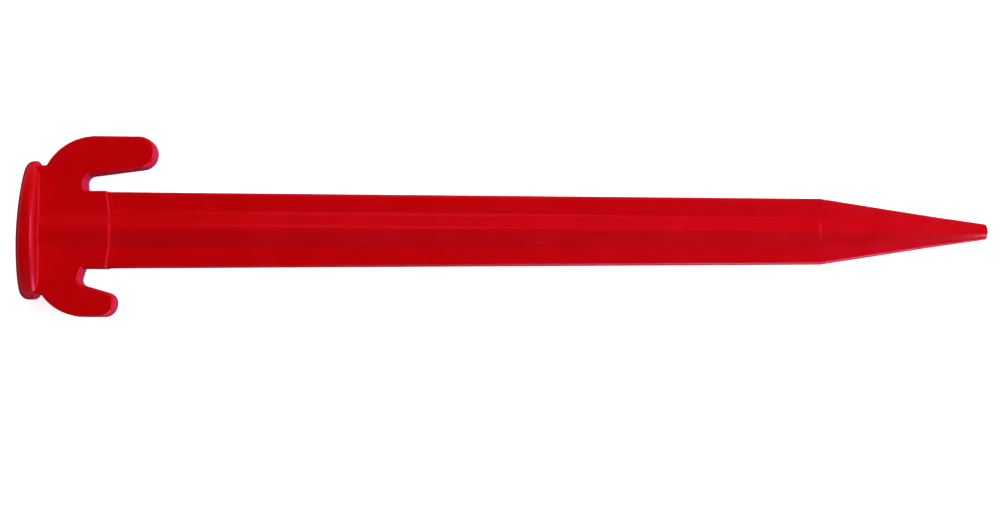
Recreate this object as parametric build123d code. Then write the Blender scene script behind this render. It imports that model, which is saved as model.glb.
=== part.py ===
from build123d import *
import os

# Heavy-duty tent stake, one plastic moulding, in millimetres.
# It lies flat: +X runs from the struck cap to the point, +Y is towards the long hook, +Z is out of the front.
# The origin is on the shaft's axis, at the plane that the cap's crown touches.
# The moulding is made whole, with its rounded edges, and then cut into one solid for each region of it.

# Whole stake
LENGTH = 305.0
POINT_START = 251.9
POINT_ROOT_X = 252.5
RUNOUT_X = 288.0
PARTS_FOLDER = "parts"

# Strike cap: an oval whose crown is domed gently across its width and more across its depth.
# A narrow flat along each long side takes the oval's depth down to the cap's, so that the stake lies steady.
CAP_WIDTH = 43.6
CAP_DEPTH = 22.0
OVAL_DEPTH = 22.3
CAP_THICKNESS = 7.3
CAP_END_RADIUS = 6.0
CROWN_WIDTH_RADIUS = 110.0
CROWN_DEPTH_RADIUS = 25.0
CROWN_OFFSET_Y = -4.0
CROWN_EDGE_RADIUS = 2.5
CAP_UNDER_RADIUS = 1.8
NECK_FILLET = 0.4

# Head plate and hooks
PLATE_THICKNESS = 9.0
PLATE_EDGE_RADIUS = 0.9
PLATE_END_EDGE_RADIUS = 0.5
PLATE_ROOT_X = 5.5
PLATE_END_X = 28.6
PLATE_END_BOW = 1.3
PLATE_HALF_WIDTH = 12.15
NECK_TOP_Y = 20.2
NECK_BOTTOM_Y = -20.45
SWELL_HEIGHT = 1.5
SWELL_HALF_WIDTH = 4.8
SWELL_RADIUS = 8.0

# Long hook: corners of its outline before rounding, from the neck round to the shaft, each with its radius
LONG_HOOK = [
    ((9.6, NECK_TOP_Y), 0.8),
    ((15.05, 29.5), 17.6),
    ((43.55, 29.3), 5.0),
    ((43.55, 19.8), 5.0),
    ((21.35, 16.85), 2.4),
    ((21.75, PLATE_HALF_WIDTH), 0.5),
]
# Short hook: the same, from the shaft round to the neck
SHORT_HOOK = [
    ((21.05, -PLATE_HALF_WIDTH), 0.5),
    ((19.6, -17.0), 2.0),
    ((31.25, -20.3), 3.4),
    ((31.25, -27.3), 4.2),
    ((13.7, -27.3), 16.2),
    ((8.45, NECK_BOTTOM_Y), 0.8),
]

# Cross sections of the shaft and the point. A section has two flat blades with a rounded rib between them.
# The rib's rise is from the blade's face to its crest before rounding, and crest_y is the crest's place.
# The rib steps down a little where the point starts, and its ridge runs off the axis from there.
SHAFT_ROOT_X = 12.0
SHAFT_ROOT = {
    "half_width": 12.12,
    "thickness": 4.6,
    "rib_half_base": 5.4,
    "rib_rise": 3.3,
    "crest_y": 0.0,
    "crest_radius": 6.0,
    "foot_radius": 6.0,
    "edge_radius": 1.1,
}
SHAFT_END = {
    "half_width": 10.33,
    "thickness": 4.6,
    "rib_half_base": 4.2,
    "rib_rise": 1.65,
    "crest_y": 0.0,
    "crest_radius": 1.0,
    "foot_radius": 1.0,
    "edge_radius": 1.1,
}
POINT_ROOT = {
    "half_width": 10.33,
    "thickness": 4.6,
    "rib_half_base": 4.2,
    "rib_rise": 1.25,
    "crest_y": -0.5,
    "crest_radius": 0.8,
    "foot_radius": 0.8,
    "edge_radius": 1.1,
}
RUNOUT = {
    "half_width": 4.75,
    "thickness": 2.8,
    "rib_half_base": 3.6,
    "rib_rise": 1.05,
    "crest_y": -1.2,
    "crest_radius": 0.8,
    "foot_radius": 0.5,
    "edge_radius": 0.9,
}
TIP = {
    "half_width": 2.3,
    "thickness": 2.2,
    "rib_half_base": 1.5,
    "rib_rise": 0.7,
    "crest_y": -0.6,
    "crest_radius": 0.5,
    "foot_radius": 0.3,
    "edge_radius": 0.55,
}
TIP_END_RADIUS = 1.1

# Where the moulding is cut into its regions
CAP_CUT_X = CAP_THICKNESS + NECK_FILLET
PLATE_CUT_X = 31.0
HOOK_CUT_Y = 12.4
LONG_FINGER_CUT_X = 24.4
SHORT_FINGER_CUT_X = 22.4
RIB_CUT_Y = 5.6

# Farther than the moulding reaches sideways, a small clearance, and how near counts as touching
REACH = 60.0
CLEAR = 0.1
CLOSE = 0.02
# The most that the normal of an upright face may lean along Z
UPRIGHT = 0.1


def oval_profile():
    """The cap's outline on YZ: two end arcs joined by two large arcs that meet them smoothly."""
    half_width = CAP_WIDTH / 2
    half_depth = OVAL_DEPTH / 2
    end_centre = half_width - CAP_END_RADIUS
    gap = half_depth - CAP_END_RADIUS
    drop = (end_centre**2 - gap**2) / (2 * gap)
    side_radius = drop + half_depth
    reach = side_radius / (side_radius - CAP_END_RADIUS)
    join_y = end_centre * reach
    join_z = drop * reach - drop
    with BuildSketch(Plane.YZ) as sketch:
        with BuildLine():
            ThreePointArc((-join_y, join_z), (0, half_depth), (join_y, join_z))
            ThreePointArc((join_y, join_z), (half_width, 0), (join_y, -join_z))
            ThreePointArc((join_y, -join_z), (0, -half_depth), (-join_y, -join_z))
            ThreePointArc((-join_y, -join_z), (-half_width, 0), (-join_y, join_z))
        make_face()
    return sketch.sketch


def crown_envelope():
    """A barrel shape that touches the plane X = 0 and gives the crown its two curvatures."""
    end_x = CROWN_WIDTH_RADIUS - (CROWN_WIDTH_RADIUS**2 - CAP_WIDTH**2) ** 0.5
    low_y = CROWN_OFFSET_Y - CAP_WIDTH
    high_y = CROWN_OFFSET_Y + CAP_WIDTH
    with BuildSketch(Plane.XY) as sketch:
        with BuildLine():
            ThreePointArc((end_x, low_y), (0, CROWN_OFFSET_Y), (end_x, high_y))
            Polyline(
                (end_x, high_y),
                (CROWN_DEPTH_RADIUS, high_y),
                (CROWN_DEPTH_RADIUS, low_y),
                (end_x, low_y),
            )
        make_face()
    axis = Axis((CROWN_DEPTH_RADIUS, 0, 0), (0, 1, 0))
    return revolve(sketch.sketch, axis)


def strike_cap_blank():
    """The oval cap with its domed crown, rounded all round, and its two narrow flats."""
    blank = extrude(oval_profile(), CAP_THICKNESS) & crown_envelope()
    crown = blank.faces().sort_by(Axis.X).first
    blank = fillet(crown.edges(), CROWN_EDGE_RADIUS)
    under = blank.faces().sort_by(Axis.X).last
    return fillet(under.edges(), CAP_UNDER_RADIUS) & Box(REACH, REACH, CAP_DEPTH)


def head_outline():
    """The outline of the head plate with its two hooks, on XY."""
    corners = [(PLATE_END_X, PLATE_HALF_WIDTH)]
    corners += [point for point, _ in reversed(LONG_HOOK)]
    corners += [(PLATE_ROOT_X, NECK_TOP_Y), (PLATE_ROOT_X, NECK_BOTTOM_Y)]
    corners += [point for point, _ in reversed(SHORT_HOOK)]
    corners += [(PLATE_END_X, -PLATE_HALF_WIDTH)]
    radii = [radius for _, radius in reversed(LONG_HOOK)] + [0, 0]
    radii += [radius for _, radius in reversed(SHORT_HOOK)]
    with BuildSketch(Plane.XY) as sketch:
        with BuildLine():
            FilletPolyline(*corners, radius=radii)
            ThreePointArc(corners[0], (PLATE_END_X + PLATE_END_BOW, 0), corners[-1])
        make_face()
    return sketch.sketch


def swollen_slab():
    """A slab as thick as the head plate, with the low swelling that runs along its centre, front and back."""
    face_z = PLATE_THICKNESS / 2
    top_z = face_z + SWELL_HEIGHT
    half = SWELL_HALF_WIDTH
    front = [(REACH, face_z), (half, face_z), (0, top_z), (-half, face_z), (-REACH, face_z)]
    back = [(y, -z) for y, z in reversed(front)]
    soft = [0, SWELL_RADIUS, SWELL_RADIUS, SWELL_RADIUS, 0]
    with BuildSketch(Plane.YZ) as sketch:
        with BuildLine():
            FilletPolyline(*front, *back, radius=soft + soft, close=True)
        make_face()
    return extrude(sketch.sketch, REACH)


def is_upright(face):
    """Whether a face stands upright, along Z."""
    return abs(face.normal_at().Z) < UPRIGHT


def upright_rims(slab, least_z):
    """The edges of a slab's upright faces that are at least so far out on the front or the back."""
    edges = slab.faces().filter_by(is_upright).edges()
    return [edge for edge in edges if abs(edge.center().Z) > least_z]


def on_plate_end(edge):
    """Whether an edge lies on the plate's bowed end, which faces the shaft."""
    middle = edge.center()
    return middle.X > PLATE_END_X and abs(middle.Y) < PLATE_HALF_WIDTH - CLOSE


def head_blank():
    """The head plate and both hooks, with rounded edges. The end towards the shaft is the sharpest."""
    blank = extrude(head_outline(), PLATE_THICKNESS, both=True) & swollen_slab()
    least_z = PLATE_THICKNESS / 2 - CLOSE
    side_rims = [edge for edge in upright_rims(blank, least_z) if not on_plate_end(edge)]
    side_rims = [edge for edge in side_rims if edge.center().X > PLATE_ROOT_X + CLOSE]
    blank = fillet(side_rims, PLATE_EDGE_RADIUS)
    rims = upright_rims(blank, least_z - PLATE_EDGE_RADIUS)
    return fillet([edge for edge in rims if on_plate_end(edge)], PLATE_END_EDGE_RADIUS)


def section(x, shape):
    """One cross section of the shaft or the point, with the same form on the front and the back."""
    face_z = shape["thickness"] / 2
    front = [
        (shape["half_width"], face_z),
        (shape["rib_half_base"], face_z),
        (shape["crest_y"], face_z + shape["rib_rise"]),
        (-shape["rib_half_base"], face_z),
        (-shape["half_width"], face_z),
    ]
    back = [(y, -z) for y, z in reversed(front)]
    edge, foot, crest = shape["edge_radius"], shape["foot_radius"], shape["crest_radius"]
    radii = [edge, foot, crest, foot, edge]
    with BuildSketch(Plane.YZ.offset(x)) as sketch:
        with BuildLine():
            FilletPolyline(*front, *back, radius=radii + radii, close=True)
        make_face()
    return sketch.sketch


def shaft_blank():
    """The whole shaft with its driving point, straight from section to section."""
    places = [
        (SHAFT_ROOT_X, SHAFT_ROOT),
        (POINT_START, SHAFT_END),
        (POINT_ROOT_X, POINT_ROOT),
        (RUNOUT_X, RUNOUT),
        (LENGTH, TIP),
    ]
    return loft([section(x, shape) for x, shape in places], ruled=True)


def in_neck(edge):
    """Whether an edge is where the plate meets the underside of the cap."""
    ends = [edge @ 0, edge @ 1]
    on_underside = all(abs(point.X - CAP_THICKNESS) < CLOSE for point in [*ends, edge.center()])
    beside_plate = abs(edge.center().Z) < PLATE_THICKNESS / 2 + SWELL_HEIGHT
    inside_neck = all(NECK_BOTTOM_Y - CLOSE < point.Y < NECK_TOP_Y + CLOSE for point in ends)
    return on_underside and beside_plate and inside_neck


def nose_envelope():
    """What bounds the driving point: a block, then a cone with a rounded end, so that the tip is blunt."""
    length = LENGTH - RUNOUT_X
    cone = Cone(RUNOUT["half_width"] + CLEAR, TIP["half_width"] + CLEAR, length)
    cone = fillet(cone.faces().sort_by(Axis.Z).last.edges(), TIP_END_RADIUS)
    return Box(2 * RUNOUT_X, REACH, REACH) + Pos(RUNOUT_X + length / 2, 0, 0) * Rot(0, 90, 0) * cone


def whole_stake():
    """The complete moulding as one solid."""
    stake = strike_cap_blank() + head_blank() + shaft_blank()
    stake = fillet(stake.edges().filter_by(in_neck), NECK_FILLET)
    return stake & nose_envelope()


def region(stake, x_range, y_range=(-REACH, REACH), z_range=(-REACH, REACH)):
    """The part of the moulding inside a box, given by its lowest and highest X, Y and Z."""
    size = [high - low for low, high in (x_range, y_range, z_range)]
    middle = [(high + low) / 2 for low, high in (x_range, y_range, z_range)]
    return stake & Pos(*middle) * Box(*size)


def main():
    """Cuts the moulding into its regions and writes one STEP file for each."""
    stake = whole_stake()
    plate_x = (CAP_CUT_X, PLATE_CUT_X)
    shaft_x = (PLATE_CUT_X, POINT_START)
    long_side = (HOOK_CUT_Y, REACH)
    short_side = (-REACH, -HOOK_CUT_Y)
    rib_y = (-RIB_CUT_Y, RIB_CUT_Y)
    regions = {
        "strike_cap": region(stake, (-REACH, CAP_CUT_X)),
        "head_plate": region(stake, plate_x, (-HOOK_CUT_Y, HOOK_CUT_Y)),
        "guy_hook_arm": region(stake, (CAP_CUT_X, LONG_FINGER_CUT_X), long_side),
        "guy_hook_finger": region(stake, (LONG_FINGER_CUT_X, REACH), long_side),
        "loop_hook_arm": region(stake, (CAP_CUT_X, SHORT_FINGER_CUT_X), short_side),
        "loop_hook_finger": region(stake, (SHORT_FINGER_CUT_X, REACH), short_side),
        "upper_blade": region(stake, shaft_x, (RIB_CUT_Y, HOOK_CUT_Y)),
        "lower_blade": region(stake, shaft_x, (-HOOK_CUT_Y, -RIB_CUT_Y)),
        "front_rib": region(stake, shaft_x, rib_y, (0, REACH)),
        "back_rib": region(stake, shaft_x, rib_y, (-REACH, 0)),
        "driving_point": region(stake, (POINT_START, LENGTH + REACH)),
    }
    os.makedirs(PARTS_FOLDER, exist_ok=True)
    for name, solid in regions.items():
        export_step(solid, f"{PARTS_FOLDER}/{name}.step")


if __name__ == "__main__":
    main()
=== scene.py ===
import math

import bmesh
import bpy
from mathutils import Matrix, Vector


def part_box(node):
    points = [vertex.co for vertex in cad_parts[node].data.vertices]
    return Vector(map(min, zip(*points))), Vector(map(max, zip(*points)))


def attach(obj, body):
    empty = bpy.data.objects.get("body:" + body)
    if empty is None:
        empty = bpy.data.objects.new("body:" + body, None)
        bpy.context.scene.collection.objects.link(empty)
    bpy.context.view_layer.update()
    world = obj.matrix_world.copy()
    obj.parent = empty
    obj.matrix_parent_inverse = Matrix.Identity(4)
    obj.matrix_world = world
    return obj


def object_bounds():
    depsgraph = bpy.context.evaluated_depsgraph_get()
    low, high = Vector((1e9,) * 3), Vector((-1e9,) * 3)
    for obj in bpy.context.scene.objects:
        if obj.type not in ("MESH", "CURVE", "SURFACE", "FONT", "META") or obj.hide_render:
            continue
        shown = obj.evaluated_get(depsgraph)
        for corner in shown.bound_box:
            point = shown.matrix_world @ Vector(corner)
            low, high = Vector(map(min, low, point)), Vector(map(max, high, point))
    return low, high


# A moulded red plastic tent stake on a pale studio floor. Metres; +X runs from the struck cap to the point,
# +Y is towards the long hook, and +Z is out of the front.

MM = 0.001
BODY = "root"
ALONG = Vector((1, 0, 0))
SIDEWAYS = Vector((0, 1, 0))
UP = Vector((0, 0, 1))
# Shorter than any real edge, and how far off the middle plane still counts as on it
NEARLY_NOTHING = 0.001 * MM
ON_PLANE = 0.0001 * MM

# Camera
VIEW_WIDTH = 314.6 * MM
VIEW_DISTANCE = 620 * MM
VIEW_TARGET = Vector((151.8 * MM, -8.66 * MM, 0))
VIEW_TILT = math.radians(3)
VIEW_ROLL = math.radians(0.115)
SENSOR = 36.0
NEAREST_SEEN = 0.01
FARTHEST_SEEN = 20

# Lights: how far each leans from straight above, its width and length, and its power in watts
LIGHT_DISTANCE = 1.2
KEY_LEAN = math.radians(33)
KEY_SIZE = (0.5, 0.5)
KEY_POWER = 10.6
SOFTBOX_LEAN = math.radians(47)
SOFTBOX_SIZE = (0.4, 0.9)
SOFTBOX_POWER = 12
LOW_LEAN = math.radians(68)
LOW_SIZE = (0.5, 0.4)
LOW_POWER = 2.2
GLINT_DIRECTION = Vector((0.42, -1.1, 0.14))
GLINT_SIZE = (0.45, 0.9)
GLINT_POWER = 20

# Room: its colours, and where they change, by the height or the X of the direction looked in, from -1 to 1
HORIZON_TOP = 0.06
HORIZON_COLOUR = (1.1, 1.1, 1.1, 1)
CEILING_START = 0.3
CEILING_COLOUR = (0.02, 0.02, 0.02, 1)
BELOW_CAP_COLOUR = (0.06, 0.01, 0.03, 1)
BELOW_POINT_COLOUR = (0.95, 0.09, 0.5, 1)
BELOW_CHANGE_X = (-0.2, 0.3)
HORIZON_BLEND = (-0.08, -0.03)

# Floor
FLOOR_RADIUS = 4
FLOOR_SIDES = 96
FLOOR_GAP = 0.1 * MM
FLOOR_COLOUR = (0.85, 0.85, 0.85, 1)
FLOOR_ROUGHNESS = 0.9
FLOOR_GLOW = 0.8

# Plastic: a noise's scale is per metre, a stretch under 1 draws it out along that axis, and nearly all of its
# values lie in the middle range
DEEP_RED = (0.395, 0.0004, 0.0008, 1)
PALE_RED = (0.445, 0.0006, 0.0013, 1)
REDS_AT = (0.2, 0.8)
HIGHLIGHT_TINT = (1.0, 0.15, 0.5, 1)
MIDDLE = (0.3, 0.7)
CLOUD_SCALE = 110
CLOUD_DETAIL = 3
FLOW_SCALE = 900
FLOW_STRETCH = (0.06, 1, 1)
GRAIN_SCALE = 2600
SCUFF_SCALE = 400
SCUFF_STRETCH = (0.2, 1, 0.5)
PLAIN_DETAIL = 2
FLOW_TONE = (-0.15, 0.15)
FLOW_RELIEF = (0.0, 0.6)
CLOUD_ROUGHNESS = (0.27, 0.33)
SCUFF_ROUGHNESS = (0.0, 0.03)
RELIEF_STRENGTH = 0.25
RELIEF_HEIGHT = 0.02 * MM

# Parting line
LINE_HALF_WIDTH = 0.09 * MM
LINE_SIDES = 6
CUT_CLOSE = 0.05 * MM

# Ejector marks: places (X, Y) and radii on the plate's and hooks' back, and a row on the back of each blade
PLATE_MARKS = [
    ((18 * MM, 8.6 * MM), 2.2 * MM),
    ((18 * MM, -8.6 * MM), 2.2 * MM),
    ((37 * MM, 24.6 * MM), 2.0 * MM),
    ((19 * MM, -21.5 * MM), 2.0 * MM),
]
BLADE_MARK_FIRST_X = 65 * MM
BLADE_MARK_STEP = 50 * MM
BLADE_MARK_COUNT = 4
BLADE_MARK_Y = 8.6 * MM
BLADE_MARK_RADIUS = 1.2 * MM
BLADE_BACK_Z = -2.3 * MM
# A mark's rounded rim, from the outside in: how far in from its radius, and how high above the back along Z
MARK_PROFILE = [(0, 0.02 * MM), (0, -0.03 * MM), (0.15 * MM, -0.06 * MM), (0.3 * MM, -0.02 * MM)]
MARK_SIDES = 40

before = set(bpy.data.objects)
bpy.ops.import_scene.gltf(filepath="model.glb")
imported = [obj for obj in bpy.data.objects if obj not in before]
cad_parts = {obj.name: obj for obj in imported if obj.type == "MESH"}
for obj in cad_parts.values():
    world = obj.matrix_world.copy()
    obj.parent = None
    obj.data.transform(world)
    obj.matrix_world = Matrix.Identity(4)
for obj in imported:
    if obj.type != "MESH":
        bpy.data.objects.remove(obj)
cad_lo, cad_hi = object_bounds()


def look(position, target, up):
    """The matrix of a camera or light at a position that looks at a target."""
    back = (position - target).normalized()
    right = up.cross(back).normalized()
    matrix = Matrix((right, back.cross(right), back)).transposed().to_4x4()
    matrix.translation = position
    return matrix


def add_object(name, data):
    """A new object in the scene."""
    thing = bpy.data.objects.new(name, data)
    bpy.context.scene.collection.objects.link(thing)
    return thing


def make_camera():
    """The camera, almost straight above the stake."""
    data = bpy.data.cameras.new("camera")
    data.sensor_width = SENSOR
    data.lens = SENSOR * VIEW_DISTANCE / VIEW_WIDTH
    data.clip_start = NEAREST_SEEN
    data.clip_end = FARTHEST_SEEN
    camera = add_object("camera", data)
    outwards = Vector((0, -math.sin(VIEW_TILT), math.cos(VIEW_TILT)))
    up = Vector((-math.sin(VIEW_ROLL), math.cos(VIEW_ROLL) * math.cos(VIEW_TILT), math.sin(VIEW_TILT)))
    camera.matrix_world = look(VIEW_TARGET + VIEW_DISTANCE * outwards, VIEW_TARGET, up)
    bpy.context.scene.camera = camera


def leaning(side, lean):
    """The direction that leans from straight above towards a side."""
    return math.sin(lean) * side + math.cos(lean) * UP


def area_light(name, direction, size, power):
    """A soft light that shines on the middle of the stake from a direction."""
    data = bpy.data.lights.new(name, "AREA")
    data.shape = "RECTANGLE"
    data.size, data.size_y = size
    data.energy = power
    light = add_object(name, data)
    middle = (cad_lo + cad_hi) / 2
    light.matrix_world = look(middle + direction.normalized() * LIGHT_DISTANCE, middle, SIDEWAYS)
    return light


def make_lights():
    """A main light on the long hook's side, two beyond the point, and one that only glossy edges mirror."""
    key = area_light("key", leaning(SIDEWAYS, KEY_LEAN), KEY_SIZE, KEY_POWER)
    key.visible_glossy = False
    area_light("softbox", leaning(ALONG, SOFTBOX_LEAN), SOFTBOX_SIZE, SOFTBOX_POWER)
    low = area_light("low", leaning(ALONG, LOW_LEAN), LOW_SIZE, LOW_POWER)
    low.visible_glossy = False
    glint = area_light("edge_glint", GLINT_DIRECTION, GLINT_SIZE, GLINT_POWER)
    glint.visible_diffuse = False


def remap(nodes, value, source, target=(0.0, 1.0)):
    """A value's range turned into another range."""
    node = nodes.new("ShaderNodeMapRange")
    node.inputs["From Min"].default_value, node.inputs["From Max"].default_value = source
    node.inputs["To Min"].default_value, node.inputs["To Max"].default_value = target
    nodes.id_data.links.new(value, node.inputs["Value"])
    return node.outputs["Result"]


def ramp(nodes, value, positions, colours):
    """A colour that runs from one to another as a value rises from the first position to the second."""
    node = nodes.new("ShaderNodeValToRGB")
    for element, position, colour in zip(node.color_ramp.elements, positions, colours):
        element.position = position
        element.color = colour
    nodes.id_data.links.new(value, node.inputs["Fac"])
    return node.outputs["Color"]


def make_world():
    """A pale horizon under a dark ceiling. The lower half is what the glossy walls of the stake mirror."""
    world = bpy.data.worlds.new("room")
    bpy.context.scene.world = world
    world.use_nodes = True
    nodes, links = world.node_tree.nodes, world.node_tree.links
    nodes.clear()
    coordinate = nodes.new("ShaderNodeTexCoord")
    split = nodes.new("ShaderNodeSeparateXYZ")
    links.new(coordinate.outputs["Generated"], split.inputs[0])
    height = split.outputs["Z"]
    upper = ramp(nodes, height, (HORIZON_TOP, CEILING_START), (HORIZON_COLOUR, CEILING_COLOUR))
    side = remap(nodes, split.outputs["X"], BELOW_CHANGE_X)
    lower = ramp(nodes, side, (0, 1), (BELOW_CAP_COLOUR, BELOW_POINT_COLOUR))
    mix = nodes.new("ShaderNodeMix")
    mix.data_type = "RGBA"
    links.new(remap(nodes, height, HORIZON_BLEND), mix.inputs["Factor"])
    links.new(lower, mix.inputs["A"])
    links.new(upper, mix.inputs["B"])
    background = nodes.new("ShaderNodeBackground")
    output = nodes.new("ShaderNodeOutputWorld")
    links.new(mix.outputs["Result"], background.inputs["Color"])
    links.new(background.outputs[0], output.inputs["Surface"])


def new_material(name):
    """A new material and its main shader."""
    material = bpy.data.materials.new(name)
    material.use_nodes = True
    return material, material.node_tree.nodes["Principled BSDF"]


def pale_floor():
    """A matt pale material with a glow that keeps shadows faint."""
    material, shader = new_material("floor")
    shader.inputs["Base Color"].default_value = FLOOR_COLOUR
    shader.inputs["Roughness"].default_value = FLOOR_ROUGHNESS
    shader.inputs["Specular IOR Level"].default_value = 0.0
    shader.inputs["Emission Color"].default_value = (1, 1, 1, 1)
    shader.inputs["Emission Strength"].default_value = FLOOR_GLOW
    return material


def make_floor():
    """A wide pale floor that the cap's rim and the back of the shaft's end rest on."""
    cap_lo, cap_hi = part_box("strike_cap")
    rim = Vector(((cap_lo.x + cap_hi.x) / 2, 0, cap_lo.z))
    end_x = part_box("back_rib")[1].x
    rib_end = [vertex.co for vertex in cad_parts["back_rib"].data.vertices if vertex.co.x > end_x - MM]
    heel = Vector((end_x, 0, min(point.z for point in rib_end)))
    slope = math.atan2(heel.z - rim.z, heel.x - rim.x)
    mesh = bpy.data.meshes.new("floor")
    shape = bmesh.new()
    bmesh.ops.create_circle(shape, cap_ends=True, segments=FLOOR_SIDES, radius=FLOOR_RADIUS)
    shape.to_mesh(mesh)
    shape.free()
    mesh.materials.append(pale_floor())
    floor = add_object("floor", mesh)
    floor.matrix_world = Matrix.Translation(rim - FLOOR_GAP * UP) @ Matrix.Rotation(-slope, 4, "Y")
    floor.visible_glossy = False


def noise(nodes, coordinate, scale, stretch=(1, 1, 1), detail=PLAIN_DETAIL):
    """A noise pattern on the object's own coordinates, stretched along its axes."""
    mapping = nodes.new("ShaderNodeMapping")
    mapping.inputs["Scale"].default_value = stretch
    texture = nodes.new("ShaderNodeTexNoise")
    texture.inputs["Scale"].default_value = scale
    texture.inputs["Detail"].default_value = detail
    nodes.id_data.links.new(coordinate.outputs["Object"], mapping.inputs["Vector"])
    nodes.id_data.links.new(mapping.outputs["Vector"], texture.inputs["Vector"])
    return texture.outputs["Fac"]


def add(nodes, first, second):
    """The sum of two values."""
    node = nodes.new("ShaderNodeMath")
    node.operation = "ADD"
    nodes.id_data.links.new(first, node.inputs[0])
    nodes.id_data.links.new(second, node.inputs[1])
    return node.outputs[0]


def red_plastic():
    """Glossy red moulded plastic: faint clouds, flow lines along the stake, fine grain and light scuffs."""
    material, shader = new_material("red_moulded_plastic")
    nodes, links = material.node_tree.nodes, material.node_tree.links
    shader.inputs["Specular Tint"].default_value = HIGHLIGHT_TINT
    coordinate = nodes.new("ShaderNodeTexCoord")
    clouds = noise(nodes, coordinate, CLOUD_SCALE, detail=CLOUD_DETAIL)
    flow = noise(nodes, coordinate, FLOW_SCALE, FLOW_STRETCH)
    grain = noise(nodes, coordinate, GRAIN_SCALE)
    scuffs = noise(nodes, coordinate, SCUFF_SCALE, SCUFF_STRETCH)
    tone = add(nodes, clouds, remap(nodes, flow, MIDDLE, FLOW_TONE))
    links.new(ramp(nodes, tone, REDS_AT, (DEEP_RED, PALE_RED)), shader.inputs["Base Color"])
    cloudy = remap(nodes, clouds, MIDDLE, CLOUD_ROUGHNESS)
    scuffed = remap(nodes, scuffs, MIDDLE, SCUFF_ROUGHNESS)
    links.new(add(nodes, cloudy, scuffed), shader.inputs["Roughness"])
    bump = nodes.new("ShaderNodeBump")
    bump.inputs["Strength"].default_value = RELIEF_STRENGTH
    bump.inputs["Distance"].default_value = RELIEF_HEIGHT
    links.new(add(nodes, remap(nodes, flow, MIDDLE, FLOW_RELIEF), grain), bump.inputs["Height"])
    links.new(bump.outputs["Normal"], shader.inputs["Normal"])
    return material


def add_piece(name, shape, material):
    """A new smooth piece of the moulding, kept inside the CAD model's box, that rides on the stake's body."""
    mesh = bpy.data.meshes.new(name)
    for vertex in shape.verts:
        vertex.co = [max(low, min(high, value)) for low, value, high in zip(cad_lo, vertex.co, cad_hi)]
    shape.to_mesh(mesh)
    shape.free()
    mesh.polygons.foreach_set("use_smooth", [True] * len(mesh.polygons))
    mesh.materials.append(material)
    piece = add_object(name, mesh)
    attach(piece, BODY)


def add_ring(shape, centre, across, upward, radius, sides):
    """The corners of a ring round a centre, in the plane of two directions."""
    angles = [index * math.tau / sides for index in range(sides)]
    around = [math.cos(angle) * across + math.sin(angle) * upward for angle in angles]
    return [shape.verts.new(centre + radius * offset) for offset in around]


def bridge(shape, first, second):
    """The faces between two rings with the same number of corners."""
    for index in range(len(first)):
        following = (index + 1) % len(first)
        shape.faces.new((first[index], first[following], second[following], second[index]))


def in_outline(place, box, slack):
    """Whether a place is inside a box as seen from the front, or no farther outside it than the slack."""
    lo, hi = box
    return all(lo[axis] - slack <= place[axis] <= hi[axis] + slack for axis in (0, 1))


def on_cut(name, place, boxes):
    """Whether a place on a region's outline is on a side of its box that another region's box touches."""
    if not any(abs(place[axis] - side[axis]) < CUT_CLOSE for axis in (0, 1) for side in boxes[name]):
        return False
    return any(in_outline(place, box, CUT_CLOSE) for other, box in boxes.items() if other != name)


def middle_edges(node):
    """The start and end of every edge where a region's surface crosses the middle of its depth."""
    shape = bmesh.new()
    shape.from_mesh(node.data)
    whole = [*shape.verts, *shape.edges, *shape.faces]
    cut = bmesh.ops.bisect_plane(shape, geom=whole, plane_co=(0, 0, 0), plane_no=UP, dist=ON_PLANE)
    edges = [edge for edge in cut["geom_cut"] if isinstance(edge, bmesh.types.BMEdge)]
    ends = [[vertex.co.copy() for vertex in edge.verts] for edge in edges]
    shape.free()
    return ends


def outline_edges():
    """The start and end of every edge of the stake's outline at half its depth, without the regions' cuts."""
    boxes = {name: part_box(name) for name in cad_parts}
    edges = []
    for name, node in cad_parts.items():
        for start, end in middle_edges(node):
            if (end - start).length > NEARLY_NOTHING and not on_cut(name, (start + end) / 2, boxes):
                edges.append((start, end))
    return edges


def add_parting_line(material):
    """The fine raised line round the outline, half way through its depth, where the mould's halves met."""
    shape = bmesh.new()
    for start, end in outline_edges():
        out = (end - start).normalized().cross(UP)
        rings = [add_ring(shape, point, out, UP, LINE_HALF_WIDTH, LINE_SIDES) for point in (start, end)]
        bridge(shape, *rings)
    bmesh.ops.remove_doubles(shape, verts=shape.verts, dist=NEARLY_NOTHING)
    add_piece("parting_line", shape, material)


def add_ejector_mark(shape, centre, radius):
    """One shallow round mark on the back."""
    rings = [
        add_ring(shape, centre + height * UP, ALONG, SIDEWAYS, radius - inwards, MARK_SIDES)
        for inwards, height in MARK_PROFILE
    ]
    for outer, inner in zip(rings, rings[1:]):
        bridge(shape, outer, inner)
    shape.faces.new(rings[-1])


def add_ejector_marks(material):
    """The shallow round marks that the mould's ejector pins leave on the back."""
    plate_back_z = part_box("guy_hook_arm")[0].z
    shape = bmesh.new()
    for (x, y), radius in PLATE_MARKS:
        add_ejector_mark(shape, Vector((x, y, plate_back_z)), radius)
    for index in range(BLADE_MARK_COUNT):
        x = BLADE_MARK_FIRST_X + index * BLADE_MARK_STEP
        for y in (BLADE_MARK_Y, -BLADE_MARK_Y):
            add_ejector_mark(shape, Vector((x, y, BLADE_BACK_Z)), BLADE_MARK_RADIUS)
    bmesh.ops.recalc_face_normals(shape, faces=shape.faces)
    add_piece("ejector_marks", shape, material)


def main():
    """The studio, the plastic on every region, and the moulding marks."""
    bpy.context.scene.view_settings.view_transform = "Standard"
    make_camera()
    make_world()
    make_lights()
    make_floor()
    plastic = red_plastic()
    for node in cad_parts.values():
        node.data.materials.clear()
        node.data.materials.append(plastic)
    add_parting_line(plastic)
    add_ejector_marks(plastic)


main()
